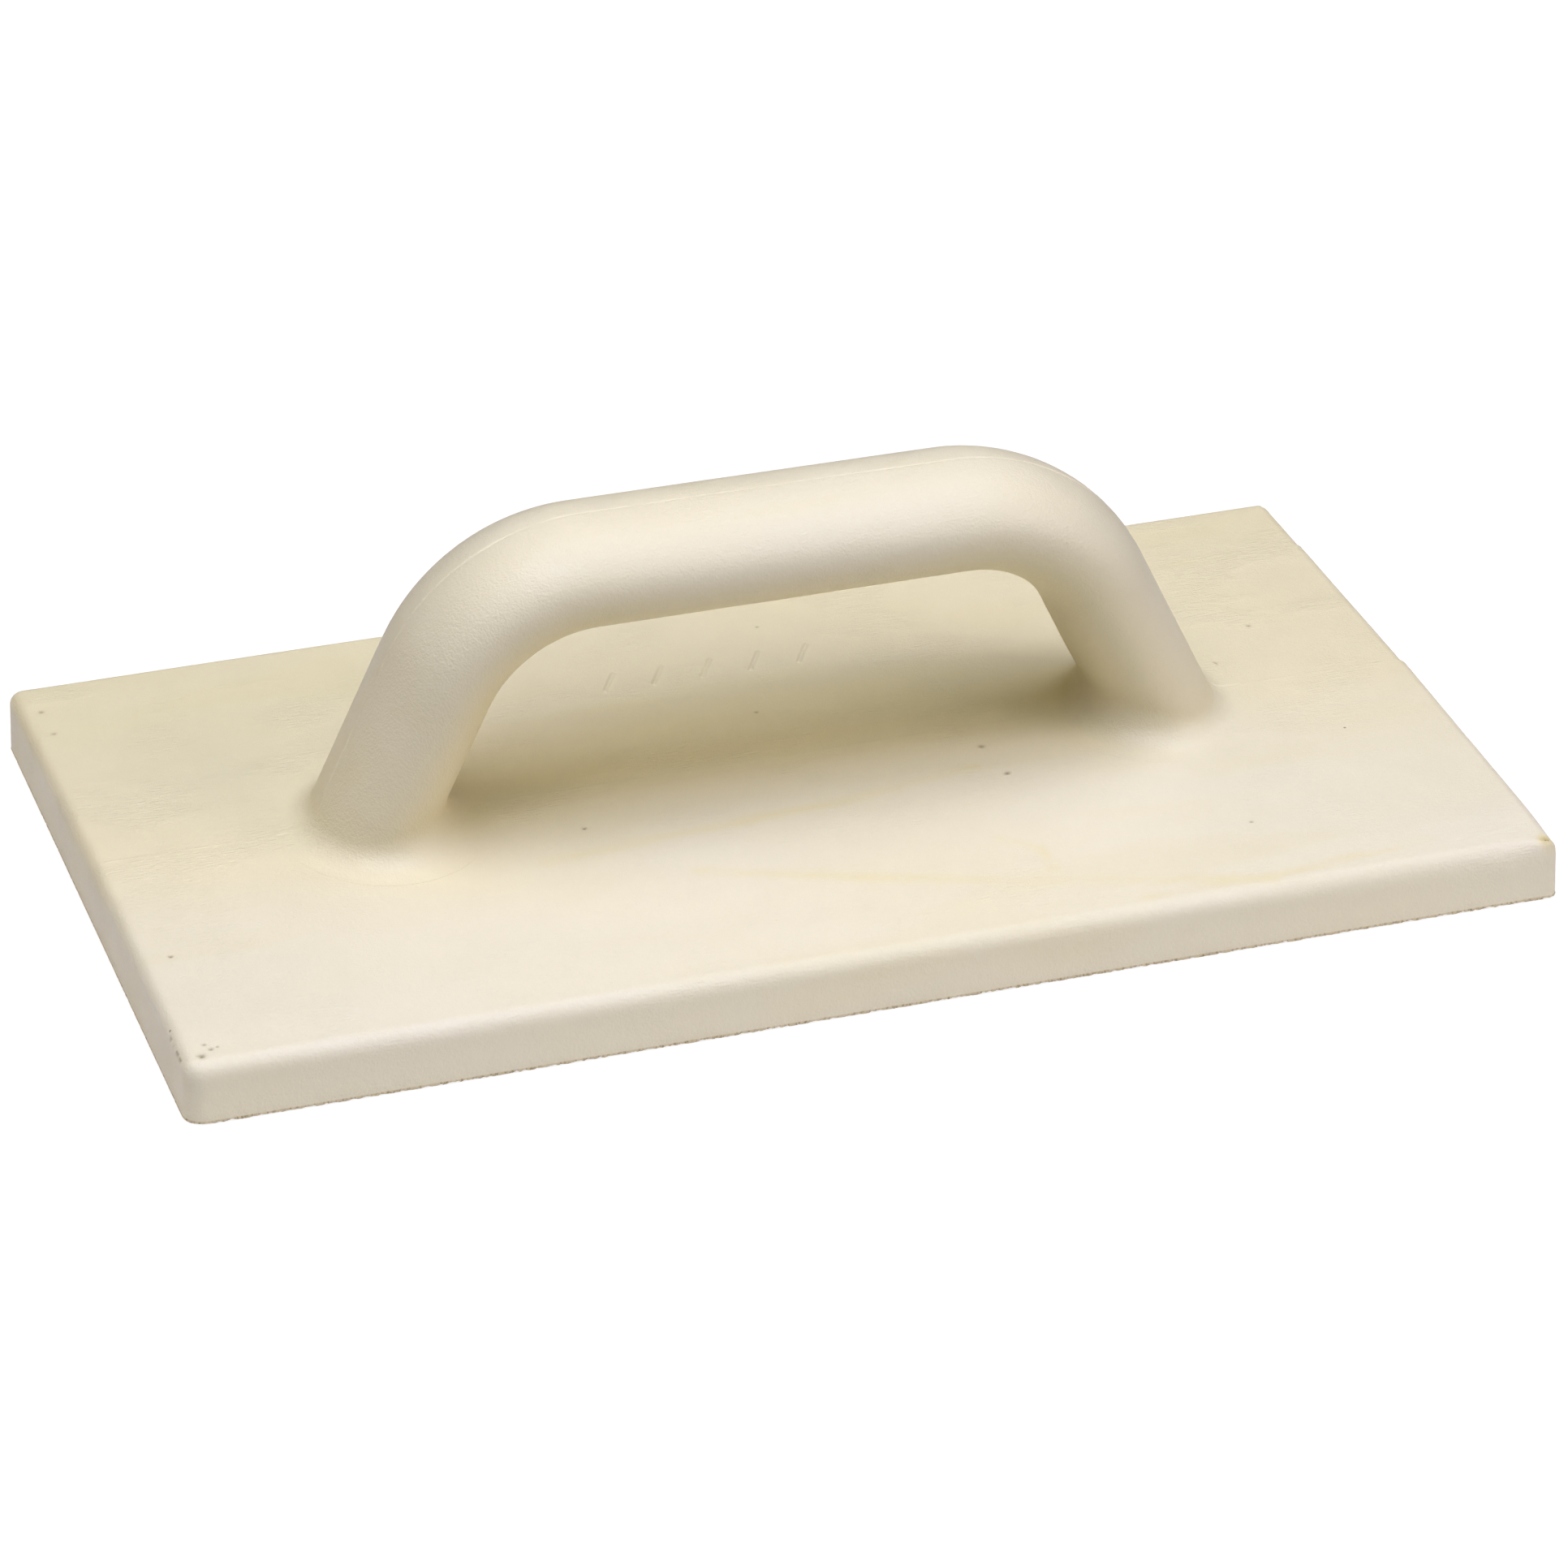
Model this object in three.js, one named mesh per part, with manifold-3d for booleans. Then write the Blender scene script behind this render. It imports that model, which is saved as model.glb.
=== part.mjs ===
// A plasterer's hand float moulded in rigid polyurethane foam: a flat board, the rough rubbing face
// under it, and a bow handle whose legs flare into the board's top.
//
// Millimetres, +Z up. The origin is the centre of the rubbing face, X runs along the board and the
// handle, and Y runs across them. The float is the same on both sides of X = 0 and of Y = 0.

import * as THREE from 'three';
import { mergeVertices } from 'three/addons/utils/BufferGeometryUtils.js';
import Module from 'manifold-3d';

// Board
const BOARD_LENGTH = 320;
const BOARD_WIDTH = 180;
const SOLE_THICKNESS = 2;
const EDGE_HEIGHT = 14.9; // the top at the long edges, before it is rounded
const RIDGE_HEIGHT = 16; // the top along the middle, where the mould's halves met
const EDGE_RADIUS = 3; // the rounded top edges
const CORNER_RADIUS = 3.2; // the rounded upright corners, in plan
const SIDE_DRAFT = 0.3; // how far each long side leans in, from the sole to the top

// Handle
const GRIP_WIDTH = 40.4; // across the float
const GRIP_THICKNESS = 25.1; // square to the centre line
const GRIP_HEIGHT = 73.7; // the grip's middle above the rubbing face
const GRIP_STRAIGHT = 87.2;
const BEND_RADIUS = 38.8; // of the centre line, at each end of the grip
const LEG_SPLAY = THREE.MathUtils.degToRad(25.5); // the legs' lean from upright
const FOOT_FLARE = 8; // radius of the hollow curve where a leg meets the board
const JOIN_GAP = 0.3; // clearance between the handle's feet and the board

// How finely round stretches are faceted
const EDGE_STEPS = 5;
const SECTION_SIDES = 32;
const SWEEP_STEPS = 52;
const FLARE_STEPS = 7;

// How far a cutting tool, or a piece that is cut, runs past the cut
const SPARE = 8;

const wasm = await Module();
wasm.setup();

// A closed geometry as a solid that can be joined and cut.
function solid(geometry) {
  const bare = geometry.index ? geometry.toNonIndexed() : geometry.clone();
  for (const name of ['normal', 'uv']) bare.deleteAttribute(name);
  const merged = mergeVertices(bare, 1e-4);
  const vertProperties = new Float32Array(merged.attributes.position.array);
  const triVerts = new Uint32Array(merged.index.array);
  return new wasm.Manifold(new wasm.Mesh({ numProp: 3, vertProperties, triVerts }));
}

// The solid back as a flat-shaded geometry.
function geometryOf(manifold) {
  const mesh = manifold.getMesh();
  const geometry = new THREE.BufferGeometry();
  geometry.setAttribute('position', new THREE.BufferAttribute(new Float32Array(mesh.vertProperties), 3));
  geometry.setIndex(new THREE.BufferAttribute(new Uint32Array(mesh.triVerts), 1));
  geometry.computeVertexNormals();
  return geometry;
}

// A Y-Z section pushed along X, centred on X = 0. A round is the radius of its end edges.
function alongX(section, length, round = 0) {
  const geometry = new THREE.ExtrudeGeometry(section, {
    depth: length - 2 * round,
    curveSegments: EDGE_STEPS,
    bevelEnabled: round > 0,
    bevelThickness: round,
    bevelSize: round,
    bevelOffset: -round,
    bevelSegments: EDGE_STEPS,
  });
  geometry.translate(0, 0, round - length / 2);
  const shapeAxesToYZX = new THREE.Matrix4().makeBasis(
    new THREE.Vector3(0, 1, 0),
    new THREE.Vector3(0, 0, 1),
    new THREE.Vector3(1, 0, 0),
  );
  return geometry.applyMatrix4(shapeAxesToYZX);
}

// The board's roof-shaped section, from a chosen floor up to its top.
function boardSection(floor) {
  const half = BOARD_WIDTH / 2;
  const shoulder = half - SIDE_DRAFT - CORNER_RADIUS;
  const arcHeight = EDGE_HEIGHT - CORNER_RADIUS;
  const section = new THREE.Shape();
  section.moveTo(-half, floor);
  section.lineTo(half, floor);
  section.absarc(shoulder, arcHeight, CORNER_RADIUS, 0, Math.PI / 2, false);
  section.lineTo(0, RIDGE_HEIGHT);
  section.absarc(-shoulder, arcHeight, CORNER_RADIUS, Math.PI / 2, Math.PI, false);
  section.closePath();
  return section;
}

// The space under the board's top, raised by a gap and wider than the handle's feet.
function belowTop(gap) {
  const half = GRIP_WIDTH;
  const fall = (RIDGE_HEIGHT - EDGE_HEIGHT) / (BOARD_WIDTH / 2 - SIDE_DRAFT - CORNER_RADIUS);
  const section = new THREE.Shape();
  section.moveTo(-half, -SPARE);
  section.lineTo(half, -SPARE);
  section.lineTo(half, RIDGE_HEIGHT + gap - fall * half);
  section.lineTo(0, RIDGE_HEIGHT + gap);
  section.lineTo(-half, RIDGE_HEIGHT + gap - fall * half);
  section.closePath();
  return solid(alongX(section, BOARD_LENGTH));
}

function boardGeometry() {
  const floor = SOLE_THICKNESS - SPARE;
  const moulding = solid(alongX(boardSection(floor), BOARD_LENGTH, EDGE_RADIUS));
  const cutter = new THREE.BoxGeometry(BOARD_LENGTH + SPARE, BOARD_WIDTH + SPARE, 2 * SPARE);
  cutter.translate(0, 0, SOLE_THICKNESS - SPARE);
  return geometryOf(moulding.subtract(solid(cutter)));
}

function soleGeometry() {
  const x = BOARD_LENGTH / 2 - CORNER_RADIUS;
  const y = BOARD_WIDTH / 2 - CORNER_RADIUS;
  const quarter = Math.PI / 2;
  const outline = new THREE.Shape();
  outline.absarc(x, y, CORNER_RADIUS, 0, quarter, false);
  outline.absarc(-x, y, CORNER_RADIUS, quarter, 2 * quarter, false);
  outline.absarc(-x, -y, CORNER_RADIUS, 2 * quarter, 3 * quarter, false);
  outline.absarc(x, -y, CORNER_RADIUS, 3 * quarter, 4 * quarter, false);
  const depth = SOLE_THICKNESS;
  return new THREE.ExtrudeGeometry(outline, { depth, curveSegments: EDGE_STEPS, bevelEnabled: false });
}

// A round bend in the X-Z plane, given by its centre and the angles that it runs between.
class Bend extends THREE.Curve {
  constructor(centreX, centreZ, fromAngle, toAngle) {
    super();
    Object.assign(this, { centreX, centreZ, fromAngle, toAngle });
  }

  getPoint(t, target = new THREE.Vector3()) {
    const angle = THREE.MathUtils.lerp(this.fromAngle, this.toAngle, t);
    const x = this.centreX + BEND_RADIUS * Math.cos(angle);
    const z = this.centreZ + BEND_RADIUS * Math.sin(angle);
    return target.set(x, 0, z);
  }
}

// The leg's centre line at a height, on the +X side.
function legX(height) {
  const bendX = GRIP_STRAIGHT / 2 + BEND_RADIUS * Math.cos(LEG_SPLAY);
  const bendZ = GRIP_HEIGHT - BEND_RADIUS + BEND_RADIUS * Math.sin(LEG_SPLAY);
  return bendX + (bendZ - height) * Math.tan(LEG_SPLAY);
}

// The handle's centre line from one foot, over the grip, to the other.
function handlePath() {
  const foot = RIDGE_HEIGHT - SPARE;
  const half = GRIP_STRAIGHT / 2;
  const low = GRIP_HEIGHT - BEND_RADIUS;
  const leftBend = new Bend(-half, low, Math.PI - LEG_SPLAY, Math.PI / 2);
  const rightBend = new Bend(half, low, Math.PI / 2, LEG_SPLAY);
  const path = new THREE.CurvePath();
  path.add(new THREE.LineCurve3(new THREE.Vector3(-legX(foot), 0, foot), leftBend.getPoint(0)));
  path.add(leftBend);
  path.add(new THREE.LineCurve3(leftBend.getPoint(1), rightBend.getPoint(0)));
  path.add(rightBend);
  path.add(new THREE.LineCurve3(rightBend.getPoint(1), new THREE.Vector3(legX(foot), 0, foot)));
  return path;
}

// The oval bow of the handle, running on below the board's top.
function bow() {
  const oval = new THREE.Shape();
  oval.absellipse(0, 0, GRIP_WIDTH / 2, GRIP_THICKNESS / 2, 0, 2 * Math.PI, false, 0);
  return new THREE.ExtrudeGeometry(oval, {
    steps: SWEEP_STEPS,
    curveSegments: SECTION_SIDES / 2,
    extrudePath: handlePath(),
  });
}

// The flare round one foot: a leaning oval column that widens in a hollow curve to the board's top.
function flare(side) {
  const top = RIDGE_HEIGHT + FOOT_FLARE;
  const foot = RIDGE_HEIGHT - SPARE / 2;
  const halfX = GRIP_THICKNESS / 2 / Math.cos(LEG_SPLAY);
  const halfY = GRIP_WIDTH / 2;
  const column = new THREE.CylinderGeometry(1, 1, 1, SECTION_SIDES, FLARE_STEPS);
  column.rotateX(Math.PI / 2);
  const position = column.attributes.position;
  for (let i = 0; i < position.count; i += 1) {
    const height = THREE.MathUtils.lerp(foot, top, position.getZ(i) + 0.5);
    const drop = Math.min(top - height, FOOT_FLARE);
    const widening = FOOT_FLARE - Math.sqrt(FOOT_FLARE ** 2 - drop ** 2);
    const x = side * legX(height) + position.getX(i) * (halfX + widening);
    position.setXYZ(i, x, position.getY(i) * (halfY + widening), height);
  }
  return column;
}

function handleGeometry() {
  const joined = solid(bow()).add(solid(flare(-1))).add(solid(flare(1)));
  return geometryOf(joined.subtract(belowTop(JOIN_GAP)));
}

function piece(name, geometry, colour, roughness) {
  const material = new THREE.MeshStandardMaterial({ color: colour, roughness, metalness: 0 });
  const mesh = new THREE.Mesh(geometry, material);
  mesh.name = name;
  return mesh;
}

const float = new THREE.Group();
float.add(piece('board', boardGeometry(), 0xe9e0c8, 0.5));
float.add(piece('working_sole', soleGeometry(), 0xd8cba6, 0.95));
float.add(piece('handle', handleGeometry(), 0xe9e0c8, 0.45));

export default float;
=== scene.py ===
"""A plasterer's hand float, moulded in one piece of cream polyurethane foam, on a pale studio floor.

Lengths are written in millimetres and turned into metres when a mesh is made. The rubbing face lies on
Z = 0, X runs along the board and the handle, and Y runs across them.
"""

import math

import bpy
import numpy as np
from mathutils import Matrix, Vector
from mathutils.geometry import delaunay_2d_cdt


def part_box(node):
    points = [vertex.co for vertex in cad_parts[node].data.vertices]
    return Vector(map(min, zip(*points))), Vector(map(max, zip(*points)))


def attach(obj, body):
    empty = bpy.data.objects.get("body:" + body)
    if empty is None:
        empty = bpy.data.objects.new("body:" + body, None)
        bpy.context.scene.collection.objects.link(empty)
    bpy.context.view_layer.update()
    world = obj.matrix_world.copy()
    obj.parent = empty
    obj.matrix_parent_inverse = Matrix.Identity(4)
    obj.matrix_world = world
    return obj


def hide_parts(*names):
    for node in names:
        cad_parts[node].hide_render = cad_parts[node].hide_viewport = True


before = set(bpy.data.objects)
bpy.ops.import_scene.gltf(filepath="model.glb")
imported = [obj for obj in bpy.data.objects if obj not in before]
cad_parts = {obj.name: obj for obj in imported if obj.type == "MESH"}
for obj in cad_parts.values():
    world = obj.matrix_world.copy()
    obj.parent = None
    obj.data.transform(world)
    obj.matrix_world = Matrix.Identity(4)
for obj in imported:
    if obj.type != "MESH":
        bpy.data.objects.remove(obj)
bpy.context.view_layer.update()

MM = 0.001  # metres in a millimetre
TAU = 2 * math.pi

# ---------------------------------------------------------------- sizes taken from the frame

SOLE_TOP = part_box("working_sole")[1].z / MM
HALF_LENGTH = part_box("board")[1].x / MM
HALF_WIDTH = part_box("working_sole")[1].y / MM
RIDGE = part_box("board")[1].z / MM
HANDLE_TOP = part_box("handle")[1].z / MM

# ---------------------------------------------------------------- the moulding's own sizes

EDGE_FALL = 1.1 / 86.5  # how steeply the top falls from its ridge to each long edge
SIDE_DRAFT = 0.3  # how far each side leans in between the sole and the top
CORNER_RADII = (3.6, 3.8, 4.8, 2.4)  # upright corners in plan, anticlockwise from the back one at +X
EDGE_ROUND = 3.0  # radius of the rounded top edges at the ends and the back
FRONT_ROUND = 4.4  # the same at the front
SOFT_DROP = 3.0  # how much further the rounding reaches down at the worn front corner
WORN_CORNER_INSET = 2.0  # how far in the rounding reaches at the worn front corner
FRONT_SAG = 0.7  # how far the top sinks towards the front edge
TOP_SOFTNESS = 1.2  # how wide the ridge is rounded
WALL_STEPS = 9  # rows of faces in the rounding of the top edge, and again in each side

GRIP_HALF_WIDTH = 20.2
GRIP_HALF_THICKNESS = 12.55
BEND_RADIUS = 38.8
HALF_STRAIGHT = 43.6
SPLAY = math.radians(25.5)
FOOT_FILLET = 7.0
APRON = 3.0  # flat rim of board that belongs to each foot
SOCKET_DEPTH = 0.6  # how far a foot is let into the board
FOOT_GAP = 0.06  # clearance between a foot and its socket

# Parts of height that the relief treats apart.
SOCKET_TOP = RIDGE - 0.85  # anything lower inside a foot's outline is in its socket
NEAR_TOP = RIDGE - 4.0  # anything higher is on the board's top or the rounding round it

# ---------------------------------------------------------------- noise and profiles


def value_noise(points, size, seed):
    """Smooth noise from -1 to 1 at the points; size is its grain, one number or one for each axis."""
    draw = np.random.RandomState(seed)
    values = draw.uniform(-1, 1, 256)
    order = draw.permutation(256)
    q = points / np.asarray(size, float)
    cell = np.floor(q).astype(int)
    part = q - cell
    part = part * part * (3 - 2 * part)
    total = np.zeros(len(points))
    for corner in np.ndindex(2, 2, 2):
        index = (cell + corner) & 255
        key = order[(order[(order[index[:, 0]] + index[:, 1]) & 255] + index[:, 2]) & 255]
        weight = np.prod(np.where(corner, part, 1 - part), axis=1)
        total += weight * values[key]
    return total


def rise(x, low, high):
    """0 below low, 1 above high, and a smooth step between."""
    t = np.clip((x - low) / (high - low), 0, 1)
    return t * t * (3 - 2 * t)


def bell(x, width):
    """1 at x = 0, falling away on both sides."""
    return np.exp(-((x / width) ** 2))


def segment_distance(plan, start, end):
    """Distance of plan points from the straight line between two points."""
    way = np.subtract(end, start).astype(float)
    offset = plan - np.asarray(start, float)
    share = np.clip(offset @ way / (way @ way), 0, 1)
    return np.linalg.norm(offset - share[:, None] * way, axis=1)


def grid_points(x_values, y_values):
    """Plan points at every crossing of a grid."""
    x, y = np.meshgrid(x_values, y_values)
    return np.column_stack([x.ravel(), y.ravel()])


# ---------------------------------------------------------------- meshes


def mesh_object(name, points, faces, sharp_angle=50):
    """A smooth-shaded object from points in millimetres."""
    mesh = bpy.data.meshes.new(name)
    mesh.from_pydata((np.asarray(points) * MM).tolist(), [], faces)
    mesh.validate()
    mesh.update()
    mesh.polygons.foreach_set("use_smooth", [True] * len(mesh.polygons))
    mesh.set_sharp_from_angle(angle=math.radians(sharp_angle))
    obj = bpy.data.objects.new(name, mesh)
    bpy.context.scene.collection.objects.link(obj)
    return obj


def strip_faces(lower, upper):
    """Quads between two closed rows of vertex numbers that both run anticlockwise seen from above."""
    return list(zip(lower, np.roll(lower, -1), np.roll(upper, -1), upper))


def fill(loops, inner_points, inside):
    """Delaunay triangles over the points of closed loops and of inner_points.

    The loops' edges are kept, and a triangle stays if inside(its middle) is true. Returns all the points, the
    loops' own first, and three point numbers for each triangle.
    """
    plan = np.vstack([*loops, inner_points])
    edges = []
    start = 0
    for loop in loops:
        count = len(loop)
        edges += [(start + i, start + (i + 1) % count) for i in range(count)]
        start += count
    made = delaunay_2d_cdt([Vector(p) for p in plan], edges, [], 0, 1e-5, True)
    coords = np.array([tuple(v) for v in made[0]])
    triangles = np.array([tuple(f) for f in made[2]])
    origin = np.array([ids[0] if ids else -1 for ids in made[3]])
    middle = coords[triangles].mean(axis=1)
    kept = origin[triangles[inside(middle)]]
    corners = plan[kept]
    a, b = corners[:, 1] - corners[:, 0], corners[:, 2] - corners[:, 0]
    flip = a[:, 0] * b[:, 1] - a[:, 1] * b[:, 0] < 0
    kept[flip] = kept[flip][:, ::-1]
    return plan, kept


def in_loop(points, loop):
    """Which plan points lie inside a closed loop: a ray from one crosses its edges an odd number of times."""
    inside = np.zeros(len(points), bool)
    x, y = points[:, 0], points[:, 1]
    for (x0, y0), (x1, y1) in zip(loop, np.roll(loop, -1, axis=0)):
        if y0 != y1:
            spans = (y0 > y) != (y1 > y)
            inside ^= spans & (x < x0 + (y - y0) * (x1 - x0) / (y1 - y0))
    return inside


def displace(obj, depth):
    """Moves each vertex along its normal by depth(points in millimetres)."""
    mesh = obj.data
    count = len(mesh.vertices)
    place = np.empty(count * 3, np.float32)
    normal = np.empty(count * 3, np.float32)
    mesh.vertices.foreach_get("co", place)
    mesh.vertices.foreach_get("normal", normal)
    place = place.reshape(-1, 3).astype(float)
    place += normal.reshape(-1, 3) * (depth(place / MM) * MM)[:, None]
    mesh.vertices.foreach_set("co", place.astype(np.float32).ravel())
    mesh.update()


# ---------------------------------------------------------------- the board's outline and top


END_STEPS = ((0.0, 0.5), (65.0, 0.4))  # steps in the +X end, where the mould's parts met: y and depth


def end_step(y):
    """How far the +X end face is set in, along the board's width."""
    return sum(depth * rise(y, at - 0.25, at + 0.25) for at, depth in END_STEPS)


def outline(spacing):
    """Points round the board's plan and their outward directions, anticlockwise from the +X side."""
    places, outward = [], []
    near = np.concatenate([np.arange(at - 0.75, at + 0.76, 0.15) for at, _ in END_STEPS])
    signs = ((1, 1), (-1, 1), (-1, -1), (1, -1))
    reach = np.array([HALF_LENGTH, HALF_WIDTH])
    for side in range(4):
        before, radius = CORNER_RADII[side - 1], CORNER_RADII[side]
        angle = side * math.pi / 2
        normal = np.array([round(math.cos(angle)), round(math.sin(angle))])
        way = np.array([-normal[1], normal[0]])
        half = abs(way) @ reach
        first, last = before - half, half - radius
        along = np.linspace(first, last, round((last - first) / spacing))
        if side == 0:
            along = np.unique(np.concatenate([along, near]))
            along = along[np.insert(np.diff(along) > 0.05, 0, True)]
        for t in along:
            places.append(normal * (abs(normal) @ reach) + way * t)
            outward.append(normal)
        centre = np.array(signs[side]) * (reach - radius)
        steps = max(8, round(radius * math.pi / 2 / spacing))
        for k in range(1, steps):
            turn = angle + k / steps * math.pi / 2
            direction = np.array([math.cos(turn), math.sin(turn)])
            places.append(centre + radius * direction)
            outward.append(direction)
    places, outward = np.array(places, float), np.array(outward, float)
    end = rise(outward[:, 0], 0.0, 0.9)
    places[:, 0] -= end * end_step(places[:, 1])
    return places, outward


def board_top(plan):
    """Height of the board's plain top: shallow slopes from a soft ridge, lower still at the front edge."""
    slope = EDGE_FALL * (np.sqrt(plan[:, 1] ** 2 + TOP_SOFTNESS**2) - TOP_SOFTNESS)
    return RIDGE - slope - FRONT_SAG * rise(-plan[:, 1], 72, 88)


def corner_wear(plan):
    """1 at the front +X corner, where the top edge is rounder, falling to 0 along the front edge."""
    return rise(plan[:, 0], 70, 150) * rise(-plan[:, 1], 60, 85)


def seam(points):
    """The mould's parting line: a fine bead, with the skin on its +Y side a little lower beside it."""
    y = points[:, 1]
    strength = 0.7 + 0.6 * value_noise(points, (6, 5, 7), 11) + 0.4 * value_noise(points, (1.4, 5, 2), 12)
    strength *= 0.6 + 0.4 * rise(points[:, 2], RIDGE + 4, RIDGE + 10)
    bead = 0.1 * bell(y, 0.28)
    step = 0.1 * rise(y, 0.05, 0.5) * (1 - rise(y, 1.5, 7.0))
    return strength * (bead - step)


def waviness(points):
    """Slow unevenness that the foam leaves in its skin."""
    broad = 0.07 * value_noise(points, (46, 30, 40), 21)
    middle = 0.025 * value_noise(points, (15, 9, 12), 22)
    small = 0.006 * value_noise(points, (4.5, 2.2, 3), 23)
    return broad + middle + small


# Pinholes in the skin: x, y, radius and depth.
PINHOLES = (
    (-49.5, -18.0, 0.55, 0.35),
    (50.5, -23.0, 0.8, 0.3),
    (49.0, -9.5, 0.9, 0.25),
    (-152.0, -44.0, 0.6, 0.4),
    (-155.0, -85.0, 0.9, 0.4),
    (-152.5, -83.0, 0.6, 0.3),
    (-153.5, -81.0, 0.5, 0.25),
    (-151.0, -82.5, 0.4, 0.25),
    (4.5, 22.5, 0.6, 0.2),
    (130.0, 27.5, 0.6, 0.25),
    (115.0, 11.5, 0.7, 0.25),
    (-154.5, 75.5, 0.7, 0.25),
    (-154.0, 64.0, 0.7, 0.2),
    (96.0, -61.0, 0.5, 0.25),
    (18.0, 64.0, 0.5, 0.2),
    (-78.0, 52.0, 0.5, 0.2),
)

# A mark of five plain low bars that lean to the right.
MARK_PLACES = (-24.0, -12.0, 0.0, 12.0, 24.0)
MARK_LINE = 47.5
MARK_HALF_LENGTH = 4.6
MARK_LEAN = 0.5
MARK_HALF_WIDTH = 0.5
MARK_HEIGHT = 0.45


def marks(points):
    """Height of the mark's bars."""
    half_bar = MARK_HALF_LENGTH * np.array([math.sin(MARK_LEAN), math.cos(MARK_LEAN)])
    near = np.full(len(points), 9.0)
    for x in MARK_PLACES:
        middle = np.array([x, MARK_LINE])
        near = np.minimum(near, segment_distance(points[:, :2], middle - half_bar, middle + half_bar))
    return MARK_HEIGHT * (1 - rise(near, MARK_HALF_WIDTH * 0.4, MARK_HALF_WIDTH * 1.3))


def pinholes(points):
    """Relief of the pinholes, each a small bell-shaped pit."""
    depth = np.zeros(len(points))
    for x, y, radius, deep in PINHOLES:
        distance = np.hypot(points[:, 0] - x, points[:, 1] - y)
        depth -= deep * bell(distance, radius * 0.75)
    return depth


# Faint yellow streaks that the foam left as it flowed: points along each line, and its half width.
STREAKS = (
    (((-30, -44), (5, -58), (42, -72), (92, -85)), 1.7),
    (((38, -50), (46, -58), (47, -66), (40, -70)), 0.9),
    (((62, -84.5), (100, -83.5), (132, -80)), 1.2),
    (((-62, -30), (-30, -27), (10, -24), (44, -18)), 1.4),
)
CORNER_DENT = (157.4, -87.0)


def dent_distance(points):
    """Distance in plan from the small dent at the worn corner."""
    return np.linalg.norm(points[:, :2] - CORNER_DENT, axis=1)


def yellowing_and_shade(points):
    """How strongly the skin is yellowed: about 0.5 on plain skin, and 1 or more in the strongest places. On
    the board's top it also carries painted shade: less yellow at the front, more towards the back and under
    the grip.
    """
    amount = np.zeros(len(points))
    for line, width in STREAKS:
        near = np.full(len(points), 99.0)
        for start, end in zip(line, line[1:]):
            near = np.minimum(near, segment_distance(points[:, :2], start, end))
        amount = np.maximum(amount, 0.6 * bell(near, width))
    amount *= 0.7 + 0.6 * value_noise(points, (12, 5, 5), 51)
    amount *= points[:, 2] < RIDGE + 2
    # Painted shade: across the board's top the yellow grows from the front edge towards the back and under
    # the grip, partly the skin's own warmer back and partly painted shade of the grip and of the light
    # falling off towards the back.
    top = rise(points[:, 2], RIDGE - 6, RIDGE - 3) * (1 - rise(points[:, 2], RIDGE, RIDGE + 12))
    plain_tone_and_painted_shade = 0.5 + top * (0.5 * rise(points[:, 1], -50, 10) - 0.15)
    return np.maximum(amount + plain_tone_and_painted_shade, 2.0 * bell(dent_distance(points), 2.1))


SCRATCH_HEIGHT = 12.4  # of the broken scratch on the -X end, which climbs a little towards +Y
SCRATCH_CLIMB = 0.06
SCRATCH_HALF_WIDTH = 0.3


def dark_marks(points):
    """How much darker the skin is made, from 0 to 1: in the pinholes, the deeper ones darker, at the corner's
    dent and along the scratch on the -X end.
    """
    amount = np.zeros(len(points))
    for x, y, radius, deep in PINHOLES:
        distance = np.hypot(points[:, 0] - x, points[:, 1] - y)
        amount = np.maximum(amount, min(1, deep / 0.35) * bell(distance, radius * 0.8))
    amount *= points[:, 2] > NEAR_TOP
    along = points[:, 1] + HALF_WIDTH
    off_line = points[:, 2] - SCRATCH_HEIGHT - SCRATCH_CLIMB * along
    dash = rise(np.sin(along * 2.1) + np.sin(along * 0.83 + 1), -0.2, 0.6)
    dash *= rise(along, 3.5, 6) * (1 - rise(along, 15, 17))
    scratch = dash * bell(off_line, SCRATCH_HALF_WIDTH) * (points[:, 0] < -HALF_LENGTH + 3)
    dent = 0.45 * bell(dent_distance(points), 1.2)
    return np.maximum(np.maximum(amount, dent), 0.8 * scratch)


def paint(obj, name, amount):
    """Keeps one number for each vertex, for the material to read."""
    mesh = obj.data
    place = np.empty(len(mesh.vertices) * 3, np.float32)
    mesh.vertices.foreach_get("co", place)
    values = amount(place.reshape(-1, 3).astype(float) / MM)
    layer = mesh.attributes.new(name, "FLOAT", "POINT")
    layer.data.foreach_set("value", values.astype(np.float32))


def relief(points):
    """Everything that stands out of the plain board, or is sunk in it, apart from the corner's dent."""
    flat = rise(points[:, 2], RIDGE - 3.5, RIDGE - 1.6)
    return waviness(points) + seam(points) + flat * (marks(points) + pinholes(points))


# ---------------------------------------------------------------- the handle's feet


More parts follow.
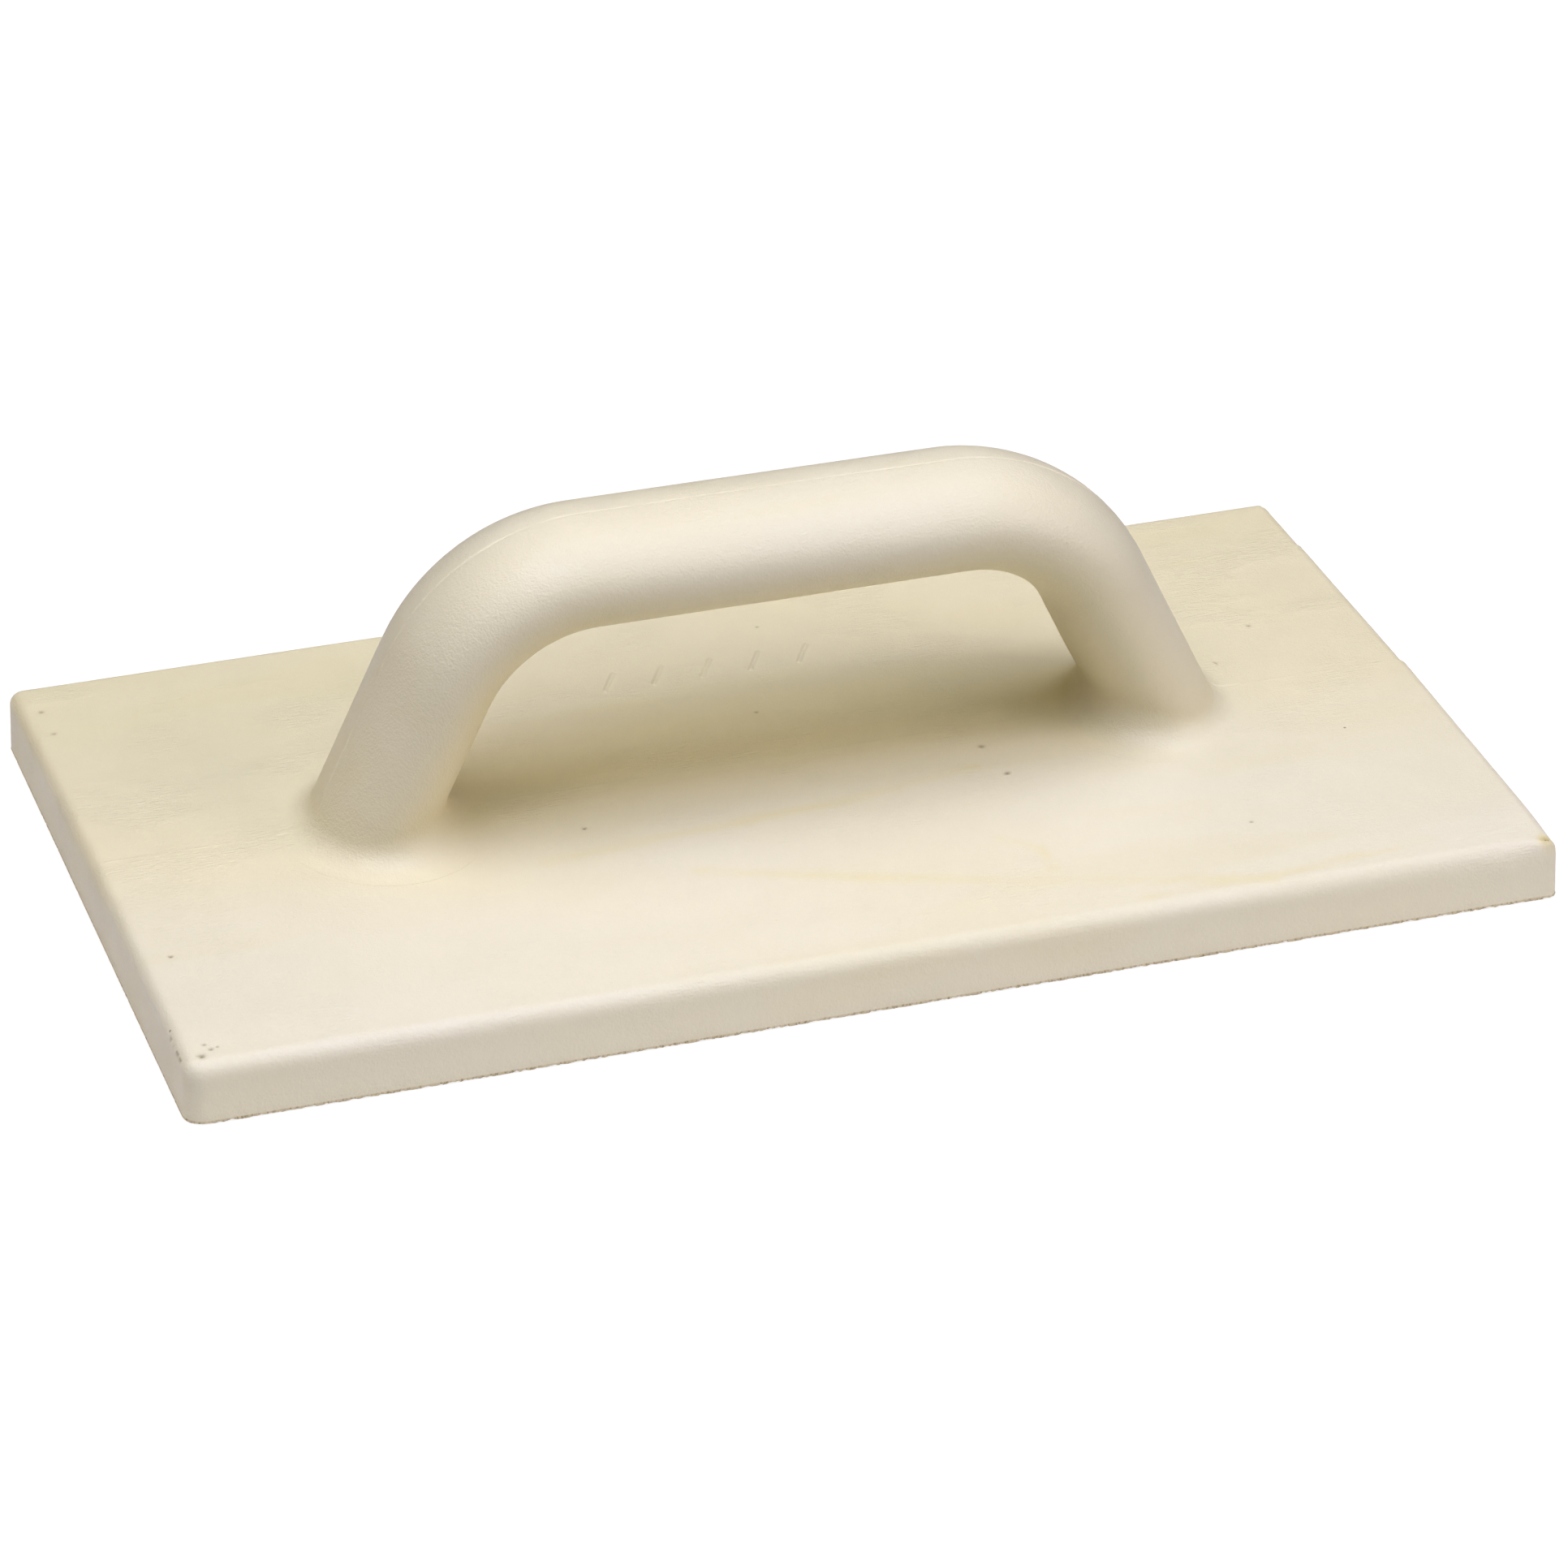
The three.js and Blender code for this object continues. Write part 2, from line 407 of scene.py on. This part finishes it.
def leg_foot(theta):
    """Where a leg's surface leaves the leg for the hollow curve at its foot, for each angle round the leg.

    Angle 0 faces outwards along +X. Returns the leaving points, the leg's outward directions there and the
    centres of the hollow curve's circles, all for the +X leg.
    """
    half_x = GRIP_HALF_THICKNESS / math.cos(SPLAY)
    flat = np.stack([np.cos(theta) / half_x, np.sin(theta) / GRIP_HALF_WIDTH], axis=1)
    flat /= np.linalg.norm(flat, axis=1)[:, None]
    lean = flat[:, 0] * math.tan(SPLAY)
    outward = np.column_stack([flat, lean]) / np.sqrt(1 + lean**2)[:, None]
    height = FOOT_FILLET * (1 - outward[:, 2])
    bend_x = HALF_STRAIGHT + BEND_RADIUS * math.cos(SPLAY)
    bend_z = HANDLE_TOP - GRIP_HALF_THICKNESS - BEND_RADIUS + BEND_RADIUS * math.sin(SPLAY)
    level = board_top(np.column_stack([theta * 0, GRIP_HALF_WIDTH * np.sin(theta)])) + height
    centre_x = bend_x + (bend_z - level) * math.tan(SPLAY)
    leaving = np.column_stack(
        [centre_x + half_x * np.cos(theta), GRIP_HALF_WIDTH * np.sin(theta), level]
    )
    return leaving, outward, leaving + FOOT_FILLET * outward


def fillet_row(theta, share):
    """A row of the hollow curve: share 0 is on the leg and share 1 is on the board."""
    leaving, outward, centre = leg_foot(theta)
    across = np.column_stack([outward[:, :2], theta * 0])
    across /= np.linalg.norm(across, axis=1)[:, None]
    start = np.arctan2(-outward[:, 2], -np.hypot(outward[:, 0], outward[:, 1]))
    start = np.where(start > 0, start - TAU, start)
    angle = start + (-math.pi / 2 - start) * share
    row = centre + FOOT_FILLET * across * np.cos(angle)[:, None]
    row[:, 2] += FOOT_FILLET * np.sin(angle)
    row[:, 2] += share**2 * (board_top(row) - (centre[:, 2] - FOOT_FILLET))
    return row, across


def spine_angles(side_steps):
    """Angles round the handle, close together at the outer and inner spines where the parting line runs."""
    fine = np.array([0.0, 0.15, 0.3, 0.45, 0.6, 0.8, 1.05, 1.35, 1.7, 2.2]) / GRIP_HALF_WIDTH
    coarse = np.linspace(fine[-1], math.pi - fine[-1], side_steps)[1:-1]
    half = np.concatenate([fine, coarse, math.pi - fine[::-1]])
    return np.concatenate([half, -half[-2:0:-1]])


THETA = spine_angles(44)


def apron_loop():
    """The rim of the +X foot's apron, where the foot's mesh and the board's mesh share their points."""
    row, across = fillet_row(THETA, 1.0)
    rim = row + across * APRON
    rim[:, 2] = board_top(rim)
    return rim


# ---------------------------------------------------------------- pieces


def top_points(holes, inner):
    """Plan points inside the board's top: a grid, finer at the parting line, mark, pinholes and dent."""
    draw = np.random.RandomState(5)
    coarse = grid_points(np.arange(-154, 154.1, 2.2), np.arange(-84, 84.1, 2.2))
    coarse += draw.uniform(-0.35, 0.35, coarse.shape)
    near_mark = (np.abs(coarse[:, 0] - 0.5) < 32.2) & (np.abs(coarse[:, 1] - MARK_LINE) < 7)
    near_seam = np.abs(coarse[:, 1]) < 3.2
    coarse = coarse[~near_mark & ~near_seam]
    seam_rows = (-2.2, -1.4, -0.9, -0.55, -0.28, 0, 0.28, 0.55, 0.85, 1.2, 1.7, 2.4)
    seam_points = grid_points(np.arange(-155.5, 155.6, 1.4), seam_rows)
    mark_points = grid_points(np.arange(-30, 31.1, 0.34), np.arange(42, 53.1, 0.34))
    dots = []
    for x, y, radius, _ in PINHOLES:
        coarse = coarse[np.hypot(coarse[:, 0] - x, coarse[:, 1] - y) > radius * 2.2]
        seam_points = seam_points[np.hypot(seam_points[:, 0] - x, seam_points[:, 1] - y) > radius * 2]
        dots.append((x, y))
        for share, count in ((0.5, 8), (1.0, 12), (1.7, 14)):
            for angle in TAU * np.arange(count) / count:
                dots.append((x + radius * share * math.cos(angle), y + radius * share * math.sin(angle)))
    around = np.arange(-3.2, 3.3, 0.4)
    dent_points = grid_points(around, around) + CORNER_DENT
    made = np.vstack([coarse, seam_points, mark_points, dots, dent_points])
    clear = in_loop(made, inner * 0.9935)
    for hole in holes:
        centre = hole.mean(axis=0)
        clear &= ~in_loop(made, centre + (hole - centre) * 1.03)
    return made[clear]


def edge_rows(inner, outward, inset, drop):
    """Rows of points down from the top's rim: round the top edge, then down the leaning side to the sole."""
    rows = []
    rim_z = board_top(inner)
    for angle in np.arange(1, WALL_STEPS + 1) / WALL_STEPS * math.pi / 2:
        plan = inner + outward * (inset * math.sin(angle))[:, None]
        rows.append(np.column_stack([plan, rim_z - drop * (1 - math.cos(angle))]))
    wall_top = rim_z - drop
    for share in np.arange(1, WALL_STEPS + 1) / WALL_STEPS:
        plan = inner + outward * (inset + SIDE_DRAFT * share)[:, None]
        rows.append(np.column_stack([plan, wall_top + (SOLE_TOP - wall_top) * share]))
    return rows


def build_board():
    """The board: its top with a shallow socket for each foot, rounded edges, sides and underside."""
    plan, outward = outline(0.6)
    count = len(plan)
    front = rise(-outward[:, 1], 0, 1)
    full = EDGE_ROUND + (FRONT_ROUND - EDGE_ROUND) * front
    drop = full + SOFT_DROP * corner_wear(plan) * front
    from_corner = np.linalg.norm(plan - (HALF_LENGTH, -HALF_WIDTH), axis=1)
    inset = np.minimum(full, WORN_CORNER_INSET + 0.3 * np.maximum(from_corner - 2.0, 0))
    inner = plan - outward * (inset + SIDE_DRAFT)[:, None]

    right = apron_loop()[:, :2]
    left = (right * (-1, 1))[::-1]
    holes = [right, left]

    def on_top(middle):
        inside = in_loop(middle, inner * 1.00001)
        for hole in holes:
            inside &= ~in_loop(middle, hole)
        return inside

    top_plan, triangles = fill([inner, *holes], top_points(holes, inner), on_top)
    points = [np.column_stack([top_plan, board_top(top_plan)])]
    faces = triangles.tolist()
    total = len(top_plan)

    upper = np.arange(count)
    for row in edge_rows(inner, outward, inset, drop):
        lower = np.arange(total, total + count)
        faces += strip_faces(lower, upper)
        points.append(row)
        total += count
        upper = lower
    faces.append(upper[::-1].tolist())

    start = count
    for hole in holes:
        ring = np.arange(start, start + len(hole))
        floor = np.arange(total, total + len(hole))
        points.append(np.column_stack([hole, board_top(hole) - SOCKET_DEPTH]))
        faces += strip_faces(ring, floor)
        faces.append(floor.tolist())
        start += len(hole)
        total += len(hole)

    obj = mesh_object("board_skin", np.vstack(points), faces)
    paint(obj, "dark_marks", dark_marks)
    paint(obj, "yellowing_and_shade", yellowing_and_shade)
    displace(obj, board_depth)
    return obj


def board_depth(points):
    """Relief of the board, fading out on the sides towards the sole so that the two pieces stay flush."""
    flush = rise(points[:, 2], SOLE_TOP, SOLE_TOP + 2.5)
    in_foot = np.hypot(np.abs(points[:, 0]) - 96, points[:, 1]) < 45
    socket = in_foot & (points[:, 2] < SOCKET_TOP)
    dent = 0.5 * bell(dent_distance(points), 1.5) * (points[:, 2] > RIDGE - 5)
    return np.where(socket, 0.0, relief(points) * flush - dent)


def build_handle():
    """The bow: an oval swept over the grip, round the bends and down the legs, then hollowed to the board."""
    cos, sin = np.cos(THETA), np.sin(THETA)
    rows = []

    def ring(x, z, lean):
        """An oval square to the centre line, whose outer side faces lean radians up from +X."""
        half_x = GRIP_HALF_THICKNESS * math.cos(lean)
        half_z = GRIP_HALF_THICKNESS * math.sin(lean)
        return np.column_stack([x + half_x * cos, GRIP_HALF_WIDTH * sin, z + half_z * cos])

    axis_z = HANDLE_TOP - GRIP_HALF_THICKNESS
    for x in np.linspace(0, HALF_STRAIGHT, 46)[:-1]:
        rows.append(ring(x, axis_z, math.pi / 2))
    low = axis_z - BEND_RADIUS
    for lean in np.linspace(math.pi / 2, SPLAY, 48):
        x = HALF_STRAIGHT + BEND_RADIUS * math.cos(lean)
        rows.append(ring(x, low + BEND_RADIUS * math.sin(lean), lean))
    bend_end = rows[-1]
    leaving = leg_foot(THETA)[0]
    for share in np.linspace(0, 1, 34)[1:]:
        rows.append(bend_end + (leaving - bend_end) * share)
    fillet_steps = 18
    for share in np.arange(1, fillet_steps + 1) / fillet_steps:
        rows.append(fillet_row(THETA, share)[0])
    last, across = fillet_row(THETA, 1.0)
    for share in (0.25, 0.5, 0.75, 1.0):
        row = last + across * APRON * share
        row[:, 2] = board_top(row)
        rows.append(row)
    tucked = last + across * (APRON - FOOT_GAP)
    tucked[:, 2] = board_top(tucked) - SOCKET_DEPTH + FOOT_GAP
    rows.append(tucked)

    mirrored = [row * (-1, 1, 1) for row in rows[:0:-1]]
    rings = mirrored + rows
    count = len(THETA)
    points = np.vstack(rings)
    faces = []
    for k in range(len(rings) - 1):
        first = np.arange(k * count, (k + 1) * count)
        faces += strip_faces(first, first + count)
    last_start = (len(rings) - 1) * count
    faces.append(tuple(range(count))[::-1])
    faces.append(tuple(range(last_start, last_start + count)))
    obj = mesh_object("handle_skin", points, faces)
    paint(obj, "yellowing_and_shade", yellowing_and_shade)
    displace(obj, handle_depth)
    obj.data.flip_normals()  # the rings run clockwise, so until here the faces point in
    return obj


def along_handle(points):
    """Places on the handle as if it were straightened: distance along it, y, and distance from its axis."""
    x, z = np.abs(points[:, 0]), points[:, 2]
    axis_z = HANDLE_TOP - GRIP_HALF_THICKNESS
    right, up = x - HALF_STRAIGHT, z - (axis_z - BEND_RADIUS)
    angle = np.clip(np.arctan2(up, right), SPLAY, math.pi / 2)
    bend = BEND_RADIUS * (math.pi / 2 - angle)
    past = np.maximum(0, right * math.sin(SPLAY) - up * math.cos(SPLAY))
    leg = (right * math.cos(SPLAY) + up * math.sin(SPLAY)) - BEND_RADIUS
    turned = np.hypot(right, up) - BEND_RADIUS
    distance = np.where(right < 0, x, HALF_STRAIGHT + bend + past)
    offset = np.where(right < 0, z - axis_z, np.where(past > 0, leg, turned))
    return np.column_stack([distance * np.sign(points[:, 0]), points[:, 1], offset])


def handle_depth(points):
    """Relief of the handle: the parting line, slow unevenness, and fine wrinkles that run along the bow."""
    under = points[:, 2] < SOCKET_TOP
    clear = rise(points[:, 2], RIDGE + 3, RIDGE + 16)
    top = rise(points[:, 2], HANDLE_TOP - 7, HANDLE_TOP - 1)
    straight = along_handle(points)
    along = value_noise(straight, (10, 1.0, 1.1), 31) + 0.7 * value_noise(straight, (5, 0.6, 0.7), 32)
    patch = rise(value_noise(straight, (26, 10, 12), 33), -0.2, 0.6)
    wrinkles = 0.028 * along * patch * clear * (1 - 0.8 * top)
    drawn = 0.016 * value_noise(straight, (70, 0.8, 9), 34) * clear
    line = seam(points) * (1 + 0.5 * clear - 0.9 * top)
    return np.where(under, 0.0, waviness(points) + line + wrinkles + drawn)


def build_sole():
    """The rubbing face: a thin layer of open foam with a ragged edge and a pitted underside."""
    plan, outward = outline(0.3)
    count = len(plan)
    levels = (SOLE_TOP, 1.5, 1.1, 0.8, 0.55, 0.3, 0.0)
    points, faces = [], []
    for z in levels:
        points.append(np.column_stack([plan, np.full(count, z)]))
    for k in range(len(levels) - 1):
        upper = np.arange(k * count, (k + 1) * count)
        faces += strip_faces(upper + count, upper)
    total = len(levels) * count
    bottom_ring = np.arange(total - count, total)

    draw = np.random.RandomState(8)
    rings = [plan - outward * 0.4, (plan - outward * 1.1)[::2]]
    grid = grid_points(np.arange(-157.6, 157.7, 1.15), np.arange(-87.6, 87.7, 1.15))
    grid += draw.uniform(-0.3, 0.3, grid.shape)
    grid = grid[in_loop(grid, rings[1][::9] * 0.9965)]
    inside = np.vstack([*rings, grid])
    flat, triangles = fill([plan], inside, lambda middle: in_loop(middle, plan))
    points.append(np.column_stack([flat[count:], np.zeros(len(flat) - count)]))
    numbers = np.concatenate([bottom_ring, np.arange(total, total + len(flat) - count)])
    faces += [tuple(int(numbers[i]) for i in t[::-1]) for t in triangles]
    faces.append(tuple(range(count)))
    points = np.vstack(points)

    at_edge = np.minimum(HALF_LENGTH - np.abs(points[:, 0]), HALF_WIDTH - np.abs(points[:, 1]))
    edge = 1 - rise(at_edge, 0.2, 1.6)
    low = 1 - rise(points[:, 2], 0.0, 1.0)
    ragged = value_noise(points, (0.95, 0.95, 2), 41) + 0.5 * value_noise(points, 0.45, 42)
    cells = np.abs(value_noise(points, (1.6, 1.6, 3), 43))
    cells += 0.5 * np.abs(value_noise(points, (0.8, 0.8, 2), 44))
    points[:, 2] += low * edge * np.clip(0.2 + 0.3 * ragged, 0, 0.6)
    points[:, 2] += low * (1 - edge) * np.clip(0.3 - 0.5 * cells, 0, 0.4)
    out = np.zeros_like(points)
    out[: len(levels) * count, :2] = np.tile(outward, (len(levels), 1))
    points += out * (low * (0.05 + 0.12 * ragged))[:, None]
    obj = mesh_object("sole_foam", points, faces, 70)
    paint(obj, "yellowing_and_shade", yellowing_and_shade)
    return obj


# ---------------------------------------------------------------- materials


class Nodes:
    """Adds nodes to one material; an output of another node may stand in place of any value."""

    def __init__(self, name):
        self.material = bpy.data.materials.new(name)
        self.material.use_nodes = True
        self.tree = self.material.node_tree
        self.shader = self.tree.nodes["Principled BSDF"]
        self.place = self.add("ShaderNodeTexCoord").outputs["Object"]

    def set(self, socket, value):
        if isinstance(value, bpy.types.NodeSocket):
            self.tree.links.new(value, socket)
        else:
            socket.default_value = value

    def add(self, kind, inputs=(), **settings):
        made = self.tree.nodes.new(kind)
        for key, value in settings.items():
            setattr(made, key, value)
        for key, value in dict(inputs).items():
            self.set(made.inputs[key], value)
        return made

    def noise(self, size, stretch=(1, 1, 1), detail=2.0, roughness=0.5, shift=0.0):
        """Noise with grains of the given size in millimetres, longer along an axis by its stretch."""
        scale = [1 / (size * MM * s) for s in stretch]
        place = self.add(
            "ShaderNodeMapping",
            {"Vector": self.place, "Scale": scale, "Location": (shift, shift, shift)},
        )
        inputs = {"Vector": place.outputs["Vector"], "Scale": 1.0, "Detail": detail, "Roughness": roughness}
        return self.add("ShaderNodeTexNoise", inputs).outputs["Fac"]

    def ramp(self, value, low, high, to_low=0.0, to_high=1.0):
        """A smooth step from to_low to to_high as the value goes from low to high."""
        inputs = {"Value": value, "From Min": low, "From Max": high, "To Min": to_low, "To Max": to_high}
        made = self.add("ShaderNodeMapRange", inputs, interpolation_type="SMOOTHSTEP")
        return made.outputs["Result"]

    def math(self, operation, first, second=0.0):
        made = self.add("ShaderNodeMath", operation=operation)
        self.set(made.inputs[0], first)
        self.set(made.inputs[1], second)
        return made.outputs["Value"]

    def mix(self, share, first, second):
        made = self.add("ShaderNodeMix", data_type="RGBA")
        self.set(made.inputs["Factor"], share)
        for key, value in (("A", first), ("B", second)):
            self.set(made.inputs[key], value)
        return made.outputs["Result"]

    def coordinate(self, axis):
        return self.add("ShaderNodeSeparateXYZ", {"Vector": self.place}).outputs[axis]


# Colours: red, green, blue and alpha.
CREAM = (0.88, 0.83, 0.67, 1)
YELLOWED = (0.87, 0.81, 0.58, 1)
# The yellow of the flow streaks, also used for painted shade on the board's top.
FLOW_AND_SHADE_YELLOW = (0.85, 0.74, 0.36, 1)
SPECK = (0.30, 0.24, 0.13, 1)
CELL_BROWN = (0.46, 0.36, 0.18, 1)
CUT_FOAM = (0.76, 0.66, 0.42, 1)


def skin_nodes(name):
    """Moulded polyurethane skin: cream, satin, finely pebbled, with slow yellow bands, a few specks, and
    yellow flow streaks, plus painted shade on the board's top that makes it yellower towards the back and
    under the grip.

    Returns the nodes and the colour that they make.
    """
    made = Nodes(name)
    bands = made.ramp(made.noise(26, (4, 1, 1), 3, 0.55), 0.5, 0.74)
    clouds = made.ramp(made.noise(45, (1.4, 1, 1), 2, 0.5, 3.1), 0.35, 0.75, 0.0, 0.35)
    colour = made.mix(made.math("MAXIMUM", made.math("MULTIPLY", bands, 0.6), clouds), CREAM, YELLOWED)
    # Yellow flow streaks and the corner's dent, plus painted shade: the board's top yellower towards the back
    # and under the grip.
    yellow_and_shade = made.add("ShaderNodeAttribute", attribute_name="yellowing_and_shade").outputs["Fac"]
    colour = made.mix(made.math("MULTIPLY", yellow_and_shade, 0.5), colour, FLOW_AND_SHADE_YELLOW)
    # Darker in the pinholes, the deeper the darker, at the corner's dent and along the scratch on the -X end.
    darkening = made.add("ShaderNodeAttribute", attribute_name="dark_marks").outputs["Fac"]
    colour = made.mix(made.math("MULTIPLY", darkening, 0.9), colour, SPECK)

    cell = made.add("ShaderNodeTexVoronoi", {"Vector": made.place, "Scale": 1 / (17 * MM)})
    rare = made.add("ShaderNodeSeparateColor", {"Color": cell.outputs["Color"]}).outputs["Red"]
    dot = made.ramp(cell.outputs["Distance"], 0.012, 0.026, 1.0, 0.0)
    dot = made.math("MULTIPLY", dot, made.ramp(rare, 0.55, 0.6))
    colour = made.mix(made.math("MULTIPLY", dot, 0.75), colour, SPECK)
    made.set(made.shader.inputs["Base Color"], colour)

    grain = made.noise(0.55, detail=1.5, roughness=0.6)
    pebble = made.noise(1.3, detail=1.0, shift=5.7)
    lines = made.noise(0.5, (7, 1, 1), 2.0, 0.55, 8.3)
    patch = made.ramp(made.noise(17, (1.6, 1, 1), 2, 0.5, 1.9), 0.46, 0.62)
    under_grip = made.ramp(made.coordinate("Y"), -30 * MM, 0.0, 1.2, 2.4)
    on_board = made.ramp(made.coordinate("Z"), (RIDGE + 1) * MM, (RIDGE + 6) * MM, 1.0, 0.35)
    lines = made.math("MULTIPLY", lines, patch)
    lines = made.math("MULTIPLY", lines, under_grip)
    lines = made.math("MULTIPLY", lines, on_board)
    relief = made.math("ADD", made.math("MULTIPLY", grain, 1.1), made.math("MULTIPLY", pebble, 0.6))
    relief = made.math("ADD", relief, lines)
    bump = made.add("ShaderNodeBump", {"Strength": 1.0, "Distance": 0.11 * MM, "Height": relief})
    made.set(made.shader.inputs["Normal"], bump.outputs["Normal"])
    gloss = made.ramp(made.noise(9, detail=3, shift=2.2), 0.3, 0.7, 0.4, 0.5)
    made.set(made.shader.inputs["Roughness"], gloss)
    made.shader.inputs["Specular IOR Level"].default_value = 0.45
    return made, colour


def foam_nodes(name):
    """The sole: skin at its upper rim, and cut foam with brown open cells lower down and underneath."""
    made, skin_colour = skin_nodes(name)
    cells = made.noise(0.6, (1, 1, 2), detail=2.0, roughness=0.6, shift=4.4)
    foam = made.mix(made.ramp(cells, 0.46, 0.7), CUT_FOAM, CELL_BROWN)
    low = made.ramp(made.coordinate("Z"), 0.5 * MM, 0.95 * MM, 1.0, 0.0)
    made.set(made.shader.inputs["Base Color"], made.mix(low, skin_colour, foam))
    return made


# ---------------------------------------------------------------- the object

board = build_board()
handle = build_handle()
sole = build_sole()

skin = skin_nodes("polyurethane_skin")[0].material
foam = foam_nodes("open_foam").material
for piece, material, slot_name, stands_for in (
    (board, skin, "board_moulding", "board"),
    (handle, skin, "handle_moulding", "handle"),
    (sole, foam, "sole_foam", "working_sole"),
):
    piece.data.materials.append(material)
    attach(piece, "root")
    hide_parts(stands_for)

# ---------------------------------------------------------------- studio


def disc(name, radius, z, colour, glow=0.0):
    """A round sheet of plain paper under the float."""
    points, faces = [], []
    rings, spokes = 12, 64
    for r in range(1, rings + 1):
        for k in range(spokes):
            reach = radius * (r / rings) ** 2
            points.append((reach * math.cos(TAU * k / spokes), reach * math.sin(TAU * k / spokes), z))
    faces.append(tuple(range(spokes)))
    for r in range(rings - 1):
        first = np.arange(r * spokes, (r + 1) * spokes)
        faces += strip_faces(first + spokes, first)
    obj = mesh_object(name, points, faces)
    material = bpy.data.materials.new(name + "_paper")
    material.use_nodes = True
    shader = material.node_tree.nodes["Principled BSDF"]
    shader.inputs["Base Color"].default_value = (colour, colour, colour, 1)
    shader.inputs["Roughness"].default_value = 0.9
    shader.inputs["Specular IOR Level"].default_value = 0.0
    shader.inputs["Emission Color"].default_value = (1, 1, 1, 1)
    shader.inputs["Emission Strength"].default_value = glow
    obj.data.materials.append(material)
    return obj


def build_floor():
    """A wide pale floor that is only seen, and a white sheet under it that throws light up at the float."""
    floor = disc("floor", 6000, -0.1, 0.3, glow=0.8)
    floor.visible_diffuse = False
    floor.visible_glossy = False
    floor.visible_shadow = False
    sheet = disc("sheet", 300, -0.3, 0.92)
    sheet.visible_camera = False


def build_world():
    """A white surround for the camera, which gives no light of its own."""
    world = bpy.data.worlds.new("studio")
    world.use_nodes = True
    world.node_tree.nodes["Background"].inputs["Color"].default_value = (1, 1, 1, 1)
    world.node_tree.nodes["Background"].inputs["Strength"].default_value = 1.0
    for kind in ("diffuse", "glossy", "transmission", "scatter"):
        setattr(world.cycles_visibility, kind, False)
    bpy.context.scene.world = world


# Softboxes: name, azimuth, elevation, and power of red, green and blue.
SOFTBOXES = (
    ("overhead", 0, 88, (6.5, 8.0, 13.0)),
    ("front", 0, 62, (6.5, 7.5, 8.5)),
    ("left", -60, 62, (9.0, 8.0, 9.5)),
    ("right", 55, 32, (9.5, 8.0, 8.0)),
    ("back_right", 120, 62, (4.5, 4.5, 5.0)),
    ("back_left", -120, 62, (7.5, 6.5, 4.0)),
)
SOFTBOX_DISTANCE = 1.8
SOFTBOX_SIZE = 1.0

CAMERA_AZIMUTH = -18
CAMERA_ELEVATION = 29.2
CAMERA_DISTANCE = 1.563
CAMERA_AIM = (0.004, 0.0, 0.0085)
CAMERA_LENS = 154.8


def place_round(obj, azimuth, elevation, distance, aim=(0, 0, 0)):
    """Puts a lamp or camera round the aim, facing it. Azimuth 0 is the front, and 90 is the +X side."""
    a, e = math.radians(azimuth), math.radians(elevation)
    back = Vector((math.sin(a) * math.cos(e), -math.cos(a) * math.cos(e), math.sin(e)))
    obj.location = Vector(aim) + back * distance
    obj.rotation_mode = "QUATERNION"
    obj.rotation_quaternion = back.to_track_quat("Z", "Y")
    bpy.context.scene.collection.objects.link(obj)


def build_lights():
    """Square softboxes all round the float."""
    for name, azimuth, elevation, power in SOFTBOXES:
        light = bpy.data.lights.new(name, "AREA")
        light.shape = "SQUARE"
        light.size = SOFTBOX_SIZE
        light.energy = max(power)
        light.color = [p / max(power) for p in power]
        place_round(bpy.data.objects.new(name, light), azimuth, elevation, SOFTBOX_DISTANCE)


def build_camera():
    """A long lens, from the front and a little to the left."""
    camera = bpy.data.objects.new("camera", bpy.data.cameras.new("camera"))
    camera.data.lens = CAMERA_LENS
    camera.data.sensor_width = 36
    camera.data.clip_start = 0.05
    camera.data.clip_end = 20
    place_round(camera, CAMERA_AZIMUTH, CAMERA_ELEVATION, CAMERA_DISTANCE, CAMERA_AIM)
    bpy.context.scene.camera = camera


build_floor()
build_world()
build_camera()
build_lights()
bpy.context.scene.view_settings.view_transform = "Standard"
bpy.context.scene.view_settings.gamma = 0.85
